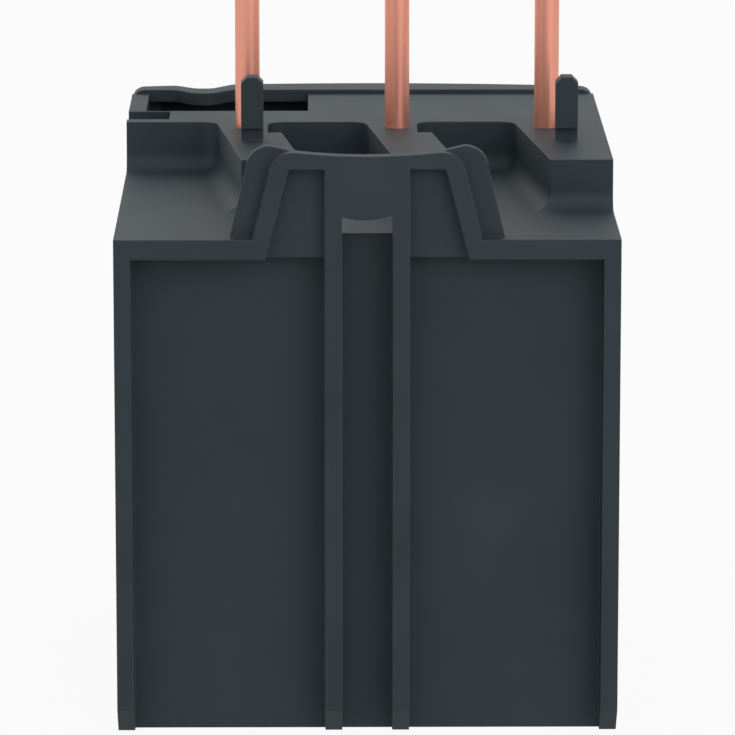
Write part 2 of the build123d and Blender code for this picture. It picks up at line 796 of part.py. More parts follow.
def main_slide():
    """The lower slide, with an ear and a post for the differential lever."""
    slide = trip_slide(slide_low)
    slide += block(lever_pivot_x - lever_ear, lever_pivot_x + lever_ear, slide_front - 1,
                   lever_pivot_depth + lever_ear, slide_low, slide_low + slide_thickness)
    slide += rod_z(lever_pivot_x, lever_pivot_depth, lever_post_radius + lever_collar,
                   slide_low + slide_thickness, lever_low - slide_gap)
    return slide + rod_z(lever_pivot_x, lever_pivot_depth, lever_post_radius, slide_low,
                         lever_low + lever_thickness + lever_collar)


def differential_slide():
    """The upper slide, with the peg that turns the differential lever."""
    slide = trip_slide(second_slide_low)
    return slide + rod_z(lever_pivot_x, lever_peg_depth, lever_peg_radius, second_slide_low,
                         lever_low + lever_thickness)


def differential_lever():
    """A lever on the main slide: a fork on the upper slide's peg, and a long arm towards the front."""
    low, top = lever_low, lever_low + lever_thickness
    slot_half = lever_peg_radius + free_gap
    fork_half_width = slot_half + lever_fork_wall
    fork_rear = lever_peg_depth - lever_fork_end
    lever = rod_z(lever_pivot_x, lever_pivot_depth, lever_hub_radius, low, top)
    lever += block(lever_pivot_x - lever_half, lever_pivot_x + lever_half, lever_pivot_depth, lever_tip_depth,
                   low, top)
    lever += rod_z(lever_pivot_x, lever_tip_depth, lever_half, low, top)
    lever += block(lever_pivot_x - fork_half_width, lever_pivot_x + fork_half_width, fork_rear,
                   lever_pivot_depth, low, top)
    lever -= block(lever_pivot_x - slot_half, lever_pivot_x + slot_half, fork_rear - 1,
                   lever_peg_depth + slot_half + free_gap, low - 1, top + 1)
    return lever - rod_z(lever_pivot_x, lever_pivot_depth, lever_post_radius + running_fit, low - 1, top + 1)


def chassis():
    """The plate that carries the dial, the buttons' stems and the levers' pins."""
    plate = block(-chassis_half, chassis_half, chassis_rear, chassis_front, chassis_low, chassis_top)
    plate -= block(*chassis_window, chassis_rear - 1, chassis_front + 1, chassis_window_low, chassis_top + 1)
    plate -= rod_y(dial_x, dial_z, dial_shaft_radius + running_fit, chassis_rear - 1, chassis_front + 1)
    for z in (reset_z, stop_z):
        plate -= rod_y(button_x, z, stem_radius + running_fit, chassis_rear - 1, chassis_front + 1)
    for x, z in ((adjuster_x, adjuster_z), (trip_x, trip_z)):
        plate -= rod_y(x, z, pivot_pin_radius, chassis_rear - 1, chassis_front + 1)
    return plate


def adjusting_lever():
    """A lever that follows the dial's cam and carries the compensating strip."""
    nose = dial_x + cam_radius + free_gap
    arm_top = compensator_top
    arm_x = compensator_x
    outline = [(adjuster_x - 1.6, adjuster_z - 1.6), (adjuster_x + 1.6, adjuster_z - 1.6),
               (adjuster_x + 2.0, adjuster_z + 1.0), (arm_x, compensator_low - 0.5), (arm_x, arm_top),
               (arm_x - 1.6, arm_top), (adjuster_x - 0.8, adjuster_z + 3.0), (nose + 2.4, dial_z + 1.2),
               (nose, dial_z + 0.9), (nose, dial_z - 0.9), (nose + 2.4, dial_z - 1.2)]
    lever = prism_y(outline, adjuster_rear, adjuster_rear + adjuster_thickness)
    bore = rod_y(adjuster_x, adjuster_z, pivot_pin_radius + running_fit, adjuster_rear - 1, chassis_rear)
    return lever - bore


def compensating_strip():
    """The strip that offsets the warmth of the surroundings, held on the adjusting lever's arm."""
    return block(compensator_x, compensator_x + compensator_thickness, compensator_rear,
                 adjuster_rear + adjuster_thickness, compensator_low, compensator_top)


def setting_dial():
    """The current-setting dial: knob, flange behind the cover's wall and shaft."""
    dial = rod_y(dial_x, dial_z, dial_radius, dial_flange_rear, dial_front)
    dial += rod_y(dial_x, dial_z, dial_flange_radius, dial_flange_rear, dial_flange_front)
    dial += rod_y(dial_x, dial_z, dial_shaft_radius, cam_front, dial_flange_rear)
    slot_half = dial_radius * dial_slot_share
    slot = block(dial_x - slot_half, dial_x + slot_half, dial_front - dial_slot_depth,
                 dial_front + 1, dial_z - dial_slot_width / 2, dial_z + dial_slot_width / 2)
    return dial - slot


def dial_cam():
    """A spiral cam on the dial shaft's end: its radius grows evenly over the dial's swing."""
    rise = (dial_z - adjuster_z) * radians(adjuster_swing) / radians(dial_swing)
    points = []
    for i in range(cam_steps + 1):
        angle = -pi + 2 * pi * i / cam_steps
        radius = cam_radius + rise * angle
        points.append((dial_x + radius * cos(angle), dial_z + radius * sin(angle)))
    arcs = [ThreePointArc(*points[i:i + 3]) for i in range(0, cam_steps, 2)]
    return prism_y(make_face(Curve() + arcs + [Line(points[-1], points[0])]), cam_rear, cam_front)


def push_button(z):
    """A button's cap and stem."""
    cap = rod_y(button_x, z, button_radius, button_rear, button_front)
    cap = chamfer(cap.edges().sort_by(Axis.Y)[0], button_chamfer)
    return cap + rod_y(button_x, z, stem_radius, stem_rear, button_rear)


def button_spring(z):
    """The coil spring round a button's stem, with straight runs between its turning points."""
    radius = (stem_radius + spring_clearance + spring_wire / 2) / cos(pi / spring_steps)
    rise = (button_rear - chassis_front - spring_wire - running_fit * 4) / (spring_turns * spring_steps)
    turns = [radians(360 / spring_steps * i) for i in range(spring_turns * spring_steps + 1)]
    path = Polyline(*[(radius * cos(a), radius * sin(a), rise * i) for i, a in enumerate(turns)])
    section = Plane(origin=path @ 0, z_dir=path % 0) * Rectangle(spring_wire, spring_wire)
    wire = sweep(section, path, transition=Transition.RIGHT)
    return Pos(button_x, rear_y - chassis_front - spring_wire / 2 - running_fit * 2, z) * Rot(90, 0, 0) * wire


def mode_selector():
    """The slotted selector for manual or automatic reset."""
    knob = rod_y(selector_x, selector_z, selector_radius, selector_rear, selector_front)
    knob += rod_y(selector_x, selector_z, selector_flange_radius, selector_rear,
                  selector_rear + selector_flange)
    return knob - block(selector_x - selector_radius, selector_x + selector_radius,
                        selector_front - selector_slot_depth, selector_front + 1,
                        selector_z - selector_slot_half, selector_z + selector_slot_half)


def trip_indicator():
    """The flag in the window, which is also the test slide, with its fork on the trip lever."""
    flag = block(-indicator_half, indicator_half, trip_front + free_gap, indicator_front,
                 indicator_low, indicator_top)
    return flag + mirrored(block(indicator_prong, indicator_half, trip_rear, trip_front + free_gap,
                                 indicator_low, indicator_top))


def trip_lever():
    """The lever that moves both contact arms and the indicator, with a tail beside the compensating strip."""
    hub = rod_y(trip_x, trip_z, trip_hub_radius, chassis_front + free_gap, trip_front + trip_hub_proud)
    lever = hub + block(-trip_arm_half, trip_arm_half, trip_rear, trip_front, trip_z,
                        indicator_top - trip_arm_gap)
    fork_shoulder, root_z = fork_notch_top + trip_arm_gap * 2, trip_z - trip_arm_gap * 2
    lever += prism_y([(-fork_half, fork_low), (fork_half, fork_low), (fork_half, fork_shoulder),
                      (trip_root, root_z), (-trip_root, root_z), (-fork_half, fork_shoulder)],
                     trip_rear, trip_front)
    for x in (nc_arm_x, no_arm_x):
        lever -= block(x - fork_notch_half, x + fork_notch_half, trip_rear - 1, trip_front + 1,
                       fork_low - 1, fork_notch_top)
    bend_low, bend_top = trip_tail_bend
    lever += prism_y([(trip_root / 2, trip_z + trip_arm_half), (trip_root / 2, trip_z - trip_hub_radius / 2),
                      (trip_tail_x[0], bend_low), (trip_tail_x[1], bend_low), (trip_tail_x[1], bend_top)],
                     trip_rear, trip_front)
    lever += block(*trip_tail_x, trip_tail_rear, trip_front, *trip_tail_z)
    return lever - rod_y(trip_x, trip_z, pivot_pin_radius + running_fit, trip_rear - 3, trip_front + 3)


def contact_arm(x, button_x0, button_x1):
    """A contact leaf with its contact rivet."""
    leaf = block(x - contact_arm_thickness / 2, x + contact_arm_thickness / 2, contact_arm_rear,
                 contact_arm_front, contact_arm_low, contact_arm_top)
    middle = (contact_arm_rear + contact_arm_front) / 2
    return leaf + rod_x(middle, contact_z, contact_radius, button_x0, button_x1)


def pivot_pin(x, z, rear, front):
    """A steel pin held in the chassis."""
    return rod_y(x, z, pivot_pin_radius, rear, front)


def clear_flap():
    """The clear flap, hinged at its foot, with holes for the buttons and a lip to lift it by."""
    front = flap_rear + flap_thickness
    flap = block(-flap_half, flap_half, flap_rear, front, flap_low, flap_top)
    ear = rod_x(flap_axis_depth, flap_axis_z, flap_ear_radius, *flap_ear)
    ear += block(flap_ear[0], flap_ear[1], flap_axis_depth, flap_rear + overlap / 2, flap_low,
                 flap_axis_z + flap_ear_radius)
    ear += rod_x(flap_axis_depth, flap_axis_z, flap_pin_radius, flap_lug[0], flap_ear[0])
    flap += mirrored(ear)
    flap += block(scoop_centre - scoop_half, scoop_centre + scoop_half, flap_rear, body_depth,
                  flap_top - flap_tab_drop, flap_tab_top)
    for z in (reset_z, stop_z):
        flap -= rod_y(button_x, z, button_radius + flap_window_gap, flap_rear - 1, front + 1)
    return flap


os.makedirs("parts", exist_ok=True)
save("housing", housing())
save("pocket_liner", pocket_liner())
save("strip_carrier", strip_carrier())
save("terminal_floor", terminal_floor())
save("front_cover", front_cover())
for n, (x, pin_x) in enumerate(zip(phases, pins), start=1):
    save(f"plug_pin_{n}", plug_pin(pin_x))
    save(f"heater_{n}", heater(x, pin_x))
    save(f"bimetal_strip_{n}", bimetal(x))
    save(f"terminal_bar_{n}", terminal_bar(x))
    save(f"power_clamp_{n}", box_clamp(x, clamp_half, clamp_wall, wire_rear, wire_space, bar_thickness,
                                       clamp_low, clamp_height, power_screw_z, power_screw_radius))
power_tip = bar_plate_rear + bar_thickness
power_head = power_tip + clamp_play + clamp_wall + power_head_gap
save("power_screws", Compound(children=[
    clamp_screw(x, power_screw_z, power_screw_radius, power_head_radius, power_head_height, power_tip,
                power_head) for x in phases]))
save("aux_clamps", Compound(children=[
    box_clamp(x, aux_clamp_half, aux_clamp_wall, aux_wire_rear, aux_wire_space, aux_plate_thickness,
              aux_clamp_low, aux_clamp_height, aux_screw_z, aux_screw_radius) for x in aux_places]))
aux_tip = aux_plate_rear + aux_plate_thickness
aux_head = aux_tip + clamp_play + aux_clamp_wall + aux_head_gap
save("aux_screws", Compound(children=[
    clamp_screw(x, aux_screw_z, aux_screw_radius, aux_head_radius, aux_head_height, aux_tip, aux_head)
    for x in aux_places]))
nc_face = nc_arm_x - contact_arm_thickness / 2 - contact_rivet[0]
no_face = no_arm_x + contact_arm_thickness / 2 + contact_rivet[1]
nc_button = nc_face - closed_gap
no_button = no_face + contact_gap
save("nc_fixed_strip", aux_strip(aux_places[0], nc_button, nc_button - contact_button - aux_plate_thickness,
                                 True, fixed_tab_top, 1))
save("nc_arm_strip", aux_strip(aux_places[1], 0, nc_arm_x - aux_plate_thickness / 2, False, 0, 0))
save("no_arm_strip", aux_strip(aux_places[2], 0, no_arm_x - aux_plate_thickness / 2, False, 0, 0))
save("no_fixed_strip", aux_strip(aux_places[3], no_button, no_button + contact_button, True,
                                 fixed_tab_top, -1))
save("nc_contact_arm", contact_arm(nc_arm_x, nc_face, nc_arm_x - contact_arm_thickness / 2))
save("no_contact_arm", contact_arm(no_arm_x, no_arm_x + contact_arm_thickness / 2, no_face))
save("main_slide", main_slide())
save("differential_slide", differential_slide())
save("differential_lever", differential_lever())
save("chassis", chassis())
save("adjusting_lever", adjusting_lever())
save("compensating_strip", compensating_strip())
save("adjuster_pin", pivot_pin(adjuster_x, adjuster_z, adjuster_rear - pin_proud[0], chassis_front))
save("trip_lever_pin", pivot_pin(trip_x, trip_z, chassis_rear, trip_front + pin_proud[1]))
save("setting_dial", setting_dial())
save("dial_cam", dial_cam())
save("reset_button", push_button(reset_z))
save("stop_button", push_button(stop_z))
save("reset_spring", button_spring(reset_z))
save("stop_spring", button_spring(stop_z))
save("mode_selector", mode_selector())
save("trip_indicator", trip_indicator())
save("trip_lever", trip_lever())
save("clear_flap", clear_flap())
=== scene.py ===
"""Looks of a plug-in thermal overload relay: dark moulded case, copper pins, dial, buttons and clear flap."""
import json
import logging
from collections.abc import Iterable
from dataclasses import dataclass, field
from enum import Enum
from math import cos, pi, radians, sin

import bpy
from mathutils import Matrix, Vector


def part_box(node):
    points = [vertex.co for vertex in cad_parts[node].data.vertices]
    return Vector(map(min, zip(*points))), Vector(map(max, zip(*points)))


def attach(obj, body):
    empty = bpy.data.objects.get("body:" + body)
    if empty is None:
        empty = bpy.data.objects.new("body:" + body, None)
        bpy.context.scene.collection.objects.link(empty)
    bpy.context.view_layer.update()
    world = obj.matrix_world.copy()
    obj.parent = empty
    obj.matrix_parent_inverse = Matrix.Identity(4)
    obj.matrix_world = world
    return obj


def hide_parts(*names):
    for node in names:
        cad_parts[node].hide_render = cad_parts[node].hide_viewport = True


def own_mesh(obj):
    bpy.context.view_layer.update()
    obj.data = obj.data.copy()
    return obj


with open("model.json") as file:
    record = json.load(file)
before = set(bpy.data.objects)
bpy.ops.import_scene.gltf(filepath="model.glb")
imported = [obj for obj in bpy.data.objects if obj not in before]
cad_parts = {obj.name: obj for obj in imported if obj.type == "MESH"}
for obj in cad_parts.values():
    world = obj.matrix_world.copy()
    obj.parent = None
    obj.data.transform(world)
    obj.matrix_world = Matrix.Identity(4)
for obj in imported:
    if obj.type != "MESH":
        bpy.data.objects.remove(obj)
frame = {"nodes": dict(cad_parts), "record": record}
log = logging.getLogger("relay")

MM = 0.001

# The sRGB curve: a straight low end, then a power.
SRGB_LOW_LIMIT = 0.04045
SRGB_LOW_SLOPE = 12.92
SRGB_OFFSET = 0.055
SRGB_POWER = 2.4

# Inputs of a Mix node that mixes colours.
MIX_SHARE = 0
MIX_FROM = 6
MIX_TO = 7

# The two noises of every finish, and the stretch of their sum over which shade turns into colour.
GRAIN_DETAIL = 3.0
GRAIN_ROUGHNESS = 0.6
CLOUD_DETAIL = 2.0
GRAIN_IN_TINT = 0.35
TINT_START = 0.45
TINT_END = 0.9

# Rounded edges: rays for each, how alike the rounded and the flat normal are where the painted edge highlight
# starts and ends, and how much of the lighter edge colour the painted highlight shows at most.
EDGE_SAMPLES = 6
HIGHLIGHT_START = 0.99
HIGHLIGHT_END = 0.80
HIGHLIGHT_SHARE = 0.5

# Edges of the scene's own pieces that turn by more than this are bevelled and shaded sharp.
CREASE = radians(35)


class Grain(Enum):
    """How a surface was made."""

    SPARK_ERODED = "spark eroded mould"
    POLISHED = "polished mould"
    DRAWN = "drawn through a die"
    ROLLED = "rolled strip"
    PLATED = "zinc plated"
    WOUND = "wound ribbon"
    PRINTED = "pad printed"


class Joining(Enum):
    """What a Boolean does with its tool."""

    CUT = "DIFFERENCE"
    FUSE = "UNION"


def linear(hex_colour: str) -> tuple[float, float, float, float]:
    """Turns an sRGB hex colour into the linear colour that a shader takes.

    Args:
        hex_colour: Six hex digits, with or without a leading mark.

    Returns:
        Linear red, green, blue and an alpha of 1.
    """
    digits = hex_colour.lstrip("#")
    shares = [int(digits[i:i + 2], 16) / 255 for i in (0, 2, 4)]
    turned = [share / SRGB_LOW_SLOPE if share <= SRGB_LOW_LIMIT
              else ((share + SRGB_OFFSET) / (1 + SRGB_OFFSET)) ** SRGB_POWER for share in shares]
    return (turned[0], turned[1], turned[2], 1.0)


def add_node(tree: bpy.types.NodeTree, kind: str, inputs: dict | None = None,
             settings: dict | None = None) -> bpy.types.Node:
    """Adds a node with its settings, values and links.

    Args:
        tree: The node tree that the node goes into.
        kind: The node's type name.
        inputs: Values or output sockets for the node's inputs, by name or number.
        settings: Properties of the node itself.

    Returns:
        The new node.
    """
    node = tree.nodes.new(kind)
    for key, value in (settings or {}).items():
        setattr(node, key, value)
    for key, value in (inputs or {}).items():
        if isinstance(value, bpy.types.NodeSocket):
            tree.links.new(value, node.inputs[key])
        else:
            node.inputs[key].default_value = value
    return node


@dataclass(frozen=True)
class Finish:
    """A surface finish: what the material is, how it was made and what that gives the eye.

    Colours are sRGB hex. Pattern sizes are real millimetres on the object.
    """

    name: str
    colour: str
    shade: str
    roughness: float
    grain: Grain
    grain_mm: float
    bump_mm: float
    metallic: float = 0.0
    ior: float = 1.5
    stretch: tuple[float, float, float] = (1.0, 1.0, 1.0)
    cloud_mm: float = 9.0
    rough_spread: float = 0.05
    edge_mm: float = 0.0
    # The lighter colour of the painted highlight along edges.
    edge_highlight_colour: str = ""
    transmission: float = 0.0

    def material(self) -> bpy.types.Material:
        """Builds the finish's material, with its patterns on Object coordinates.

        Returns:
            The new material.
        """
        made = bpy.data.materials.new(self.name)
        made.use_nodes = True
        tree = made.node_tree
        tree.nodes.clear()
        place = add_node(tree, "ShaderNodeTexCoord").outputs["Object"]
        run = add_node(tree, "ShaderNodeMapping", {"Vector": place, "Scale": self.stretch}).outputs[0]
        grain = add_node(tree, "ShaderNodeTexNoise", {
            "Vector": run, "Scale": 1 / (self.grain_mm * MM), "Detail": GRAIN_DETAIL,
            "Roughness": GRAIN_ROUGHNESS}).outputs["Fac"]
        rough = add_node(tree, "ShaderNodeMapRange", {
            "Value": grain, "To Min": self.roughness - self.rough_spread,
            "To Max": self.roughness + self.rough_spread}).outputs[0]
        inputs = {"Base Color": self._tint(tree, run, grain), "Roughness": rough, "Metallic": self.metallic,
                  "Transmission Weight": self.transmission, "Normal": self._normal(tree, grain)}
        if not self.metallic:
            inputs["IOR"] = self.ior
        shader = add_node(tree, "ShaderNodeBsdfPrincipled", inputs)
        add_node(tree, "ShaderNodeOutputMaterial", {"Surface": shader.outputs[0]})
        return made

    def _tint(self, tree: bpy.types.NodeTree, run: bpy.types.NodeSocket,
              grain: bpy.types.NodeSocket) -> bpy.types.NodeSocket:
        """Clouds the colour with its shade, and paints a lighter highlight along edges where the finish has
        such edges.

        Args:
            tree: The material's node tree.
            run: The coordinates that the patterns follow.
            grain: The grain pattern's output.

        Returns:
            The colour for the shader.
        """
        cloud = add_node(tree, "ShaderNodeTexNoise", {
            "Vector": run, "Scale": 1 / (self.cloud_mm * MM), "Detail": CLOUD_DETAIL}).outputs["Fac"]
        both = add_node(tree, "ShaderNodeMath", {0: grain, 1: GRAIN_IN_TINT, 2: cloud},
                        {"operation": "MULTIPLY_ADD"}).outputs[0]
        spread = add_node(tree, "ShaderNodeMapRange", {
            "Value": both, "From Min": TINT_START, "From Max": TINT_END,
            "To Min": 0.0, "To Max": 1.0}).outputs[0]
        tint = add_node(tree, "ShaderNodeMix", {
            MIX_SHARE: spread, MIX_FROM: linear(self.shade), MIX_TO: linear(self.colour)},
            {"data_type": "RGBA"}).outputs[2]
        return self._painted_edge_highlight(tree, tint) if self.edge_mm else tint

    def _normal(self, tree: bpy.types.NodeTree, grain: bpy.types.NodeSocket) -> bpy.types.NodeSocket:
        """Adds the grain's bump over a softly rounded edge.

        Args:
            tree: The material's node tree.
            grain: The grain pattern's output.

        Returns:
            The normal for the shader.
        """
        inputs = {"Height": grain, "Distance": self.bump_mm * MM, "Strength": 1.0}
        if self.edge_mm:
            inputs["Normal"] = self._rounded(tree)
        return add_node(tree, "ShaderNodeBump", inputs).outputs[0]

    def _painted_edge_highlight(self, tree: bpy.types.NodeTree, tint: bpy.types.NodeSocket) -> bpy.types.NodeSocket:
        """Lightens the colour along edges with a painted highlight, which stands in for the light that the
        edges catch.

        Args:
            tree: The material's node tree.
            tint: The colour away from the edges.

        Returns:
            The colour with its lighter edges.
        """
        sharp = add_node(tree, "ShaderNodeNewGeometry").outputs["Normal"]
        same = add_node(tree, "ShaderNodeVectorMath", {0: self._rounded(tree), 1: sharp},
                        {"operation": "DOT_PRODUCT"}).outputs[1]
        # Painted highlight: the share of the lighter edge colour grows as the rounded normal turns away from
        # the flat one.
        highlight = add_node(tree, "ShaderNodeMapRange", {
            "Value": same, "From Min": HIGHLIGHT_START, "From Max": HIGHLIGHT_END,
            "To Min": 0.0, "To Max": HIGHLIGHT_SHARE}).outputs[0]
        return add_node(tree, "ShaderNodeMix", {
            MIX_SHARE: highlight, MIX_FROM: tint, MIX_TO: linear(self.edge_highlight_colour)},
            {"data_type": "RGBA"}).outputs[2]

    def _rounded(self, tree: bpy.types.NodeTree) -> bpy.types.NodeSocket:
        """Gives the normal that the finish's edge radius makes of a sharp edge."""
        return add_node(tree, "ShaderNodeBevel", {"Radius": self.edge_mm * MM},
                        {"samples": EDGE_SAMPLES}).outputs[0]


# Glass-filled polyamide, black-grey: a dull even skin with a fine spark-eroded grain, which takes some of
# its gloss away, so its IOR is matched below the 1.53 of the polished plastic. The real grain, about 0.1 mm,
# is drawn at 0.3 mm so that it shows.
# Its edge colour is a painted highlight along its rounded edges, lighter than the plastic.
HOUSING = Finish("moulded_polyamide_grey", "#253137", "#1f2b31", 0.60, Grain.SPARK_ERODED, 0.30, 0.010,
                 ior=1.40, edge_mm=0.16, edge_highlight_colour="#4a5154")
# Natural polyamide: ivory, which looks soft and plain.
INNER = Finish("moulded_polyamide_natural", "#d8d2c2", "#cbc4b2", 0.45, Grain.SPARK_ERODED, 0.4, 0.006,
               ior=1.53)
# Clear polycarbonate: water clear with a sharp gloss.
CLEAR = Finish("clear_polycarbonate", "#f4f8fa", "#eef4f6", 0.04, Grain.POLISHED, 6.0, 0.001, ior=1.585,
               transmission=1.0, rough_spread=0.01)
# Acetal in four colours: dense, waxy and half gloss.
DIAL = Finish("moulded_acetal_pale", "#dcdbd4", "#d3d2ca", 0.34, Grain.POLISHED, 0.8, 0.003, ior=1.48)
BLUE = Finish("moulded_acetal_blue", "#1c5596", "#184c88", 0.32, Grain.POLISHED, 0.8, 0.003, ior=1.48)
RED = Finish("moulded_acetal_red", "#b3221d", "#a51e1a", 0.32, Grain.POLISHED, 0.8, 0.003, ior=1.48)
FLAG = Finish("moulded_acetal_yellow", "#d9a520", "#cd9a1c", 0.36, Grain.POLISHED, 0.8, 0.003, ior=1.48)
# Drawn copper: pinkish, with faint lines along the pin.
PIN = Finish("drawn_copper", "#e7a18c", "#dc947f", 0.42, Grain.DRAWN, 0.10, 0.003, metallic=1.0,
             stretch=(1.0, 1.0, 0.03), cloud_mm=3.0)
# Stamped copper: browner than the pins, with the rolling lines of its sheet.
BAR = Finish("stamped_copper", "#c98563", "#b57352", 0.36, Grain.ROLLED, 0.15, 0.003, metallic=1.0,
             stretch=(1.0, 1.0, 0.1), cloud_mm=4.0)
# Stamped brass: yellow, rolled along the terminals' depth.
BRASS = Finish("stamped_brass", "#d0b067", "#c09f58", 0.34, Grain.ROLLED, 0.15, 0.003, metallic=1.0,
               stretch=(1.0, 0.1, 1.0), cloud_mm=4.0)
# Spring bronze: between copper and brass, rolled along the contact arms.
BRONZE = Finish("spring_bronze", "#c79b62", "#b68a54", 0.34, Grain.ROLLED, 0.12, 0.003, metallic=1.0,
                stretch=(1.0, 1.0, 0.1), cloud_mm=4.0)
# Rolled bimetal: warm grey, with lines along the strip.
BIMETAL = Finish("rolled_bimetal", "#b8b2a8", "#a69f94", 0.40, Grain.ROLLED, 0.15, 0.004, metallic=1.0,
                 stretch=(1.0, 1.0, 0.1), cloud_mm=4.0)
# Resistance ribbon: darker and dull from its first heating.
HEATER = Finish("resistance_ribbon", "#8c857c", "#766f66", 0.48, Grain.WOUND, 0.3, 0.010, metallic=1.0)
# Zinc plate: pale, slightly blue and finely cloudy. The screws shine a little more than the clamps.
STEEL = Finish("zinc_plated_steel", "#c3c7ca", "#b1b6ba", 0.34, Grain.PLATED, 0.25, 0.004, metallic=1.0,
               cloud_mm=2.5)
SCREW = Finish("zinc_plated_screw", "#cfd2d3", "#babfc2", 0.30, Grain.PLATED, 0.2, 0.004, metallic=1.0,
               cloud_mm=2.0)
# Drawn spring wire: a smooth grey.
SPRING = Finish("spring_wire", "#a9acae", "#94989b", 0.30, Grain.DRAWN, 0.12, 0.002, metallic=1.0)
# Pad-printed ink: flat and matt.
INK = Finish("printed_ink_white", "#dfe1e0", "#d2d5d4", 0.6, Grain.PRINTED, 0.3, 0.001)
DARK_INK = Finish("printed_ink_dark", "#1c1e20", "#24272a", 0.6, Grain.PRINTED, 0.3, 0.001)

SLOT_FINISH = {
    "housing_plastic": HOUSING, "inner_plastic": INNER, "clear_plastic": CLEAR, "dial_plastic": DIAL,
    "blue_plastic": BLUE, "red_plastic": RED, "flag_plastic": FLAG, "pin_copper": PIN, "bar_copper": BAR,
    "brass": BRASS, "contact_bronze": BRONZE, "bimetal": BIMETAL, "heater": HEATER, "steel": STEEL,
    "screw_steel": SCREW, "spring_steel": SPRING,
}


def in_millimetres(box: Iterable) -> tuple[Vector, Vector]:
    """Turns a box's low and high corner from metres into millimetres."""
    low, high = (corner / MM for corner in map(Vector, box))
    return low, high


def dress(piece: bpy.types.Object, material: bpy.types.Material) -> None:
    """Gives a piece one material all over."""
    piece.data.materials.clear()
    piece.data.materials.append(material)


def settle(name: str) -> bpy.types.Object:
    """Names the new piece and moves its place, turn and scale into its mesh.

    Args:
        name: The piece's name.

    Returns:
        The piece.
    """
    piece = bpy.context.object
    piece.name = name
    bpy.ops.object.transform_apply(location=True, rotation=True, scale=True)
    return piece


def rod(name: str, place: Vector, radius: float, length: float, sides: int = 48) -> bpy.types.Object:
    """Adds a rod along Y.

    Args:
        name: The piece's name.
        place: The rod's middle, in millimetres.
        radius: Its radius in millimetres.
        length: Its length in millimetres.
        sides: How many sides its circle has.

    Returns:
        The new piece.
    """
    bpy.ops.object.select_all(action="DESELECT")
    bpy.ops.mesh.primitive_cylinder_add(vertices=sides, radius=radius * MM, depth=length * MM,
                                        location=place * MM, rotation=(pi / 2, 0, 0))
    return settle(name)


def bar(name: str, place: Vector, size: tuple[float, float, float], turn: float = 0.0) -> bpy.types.Object:
    """Adds a box, turned about Y.

    Args:
        name: The piece's name.
        place: The box's middle, in millimetres.
        size: Its sides along X, Y and Z, in millimetres.
        turn: Its turn about Y in radians.

    Returns:
        The new piece.
    """
    bpy.ops.object.select_all(action="DESELECT")
    bpy.ops.mesh.primitive_cube_add(size=1, location=place * MM, rotation=(0, turn, 0))
    bpy.context.object.scale = Vector(size) * MM
    return settle(name)


def join(name: str, pieces: list[bpy.types.Object]) -> bpy.types.Object:
    """Joins the pieces into one.

    Args:
        name: The joined piece's name.
        pieces: The pieces, of which the first takes in the others.

    Returns:
        The joined piece.
    """
    bpy.ops.object.select_all(action="DESELECT")
    for piece in pieces:
        piece.select_set(True)
    bpy.context.view_layer.objects.active = pieces[0]
    bpy.ops.object.join()
    return settle(name)


def combine(piece: bpy.types.Object, tool: bpy.types.Object, how: Joining) -> None:
    """Applies a Boolean with the tool to the piece and removes the tool.

    Args:
        piece: The piece that stays.
        tool: The piece that cuts it or is fused with it.
        how: Which of the two.
    """
    bpy.context.view_layer.objects.active = piece
    boolean = piece.modifiers.new("boolean", "BOOLEAN")
    boolean.operation = how.value
    boolean.solver = "EXACT"
    boolean.object = tool
    bpy.ops.object.modifier_apply(modifier=boolean.name)
    bpy.data.objects.remove(tool)


def soften(piece: bpy.types.Object, width: float, segments: int = 3) -> None:
    """Bevels a piece's sharp edges and smooths its shading.

    Args:
        piece: The piece.
        width: The bevel's width in millimetres.
        segments: How many faces the bevel has across.
    """
    bpy.ops.object.select_all(action="DESELECT")
    piece.select_set(True)
    bpy.context.view_layer.objects.active = piece
    bevel = piece.modifiers.new("bevel", "BEVEL")
    bevel.width = width * MM
    bevel.segments = segments
    bevel.limit_method = "ANGLE"
    bevel.angle_limit = CREASE
    bpy.ops.object.modifier_apply(modifier=bevel.name)
    bpy.ops.object.shade_smooth_by_angle(angle=CREASE)


@dataclass
class Wardrobe:
    """Makes each finish's material once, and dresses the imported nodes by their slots."""

    made: dict[str, bpy.types.Material] = field(default_factory=dict)

    def material(self, finish: Finish) -> bpy.types.Material:
        """Gives a finish's material, made on first use.

        Args:
            finish: The finish.

        Returns:
            Its material.
        """
        if finish.name not in self.made:
            self.made[finish.name] = finish.material()
        return self.made[finish.name]

    def dress_nodes(self) -> None:
        """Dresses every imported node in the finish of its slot."""
        for part in frame["record"]["subparts"]:
            finish = SLOT_FINISH[part["material_slot"]]
            dress(frame["nodes"][part["node"]], self.material(finish))
            log.info("node %s is %s, %s", part["node"], finish.name, finish.grain.value)


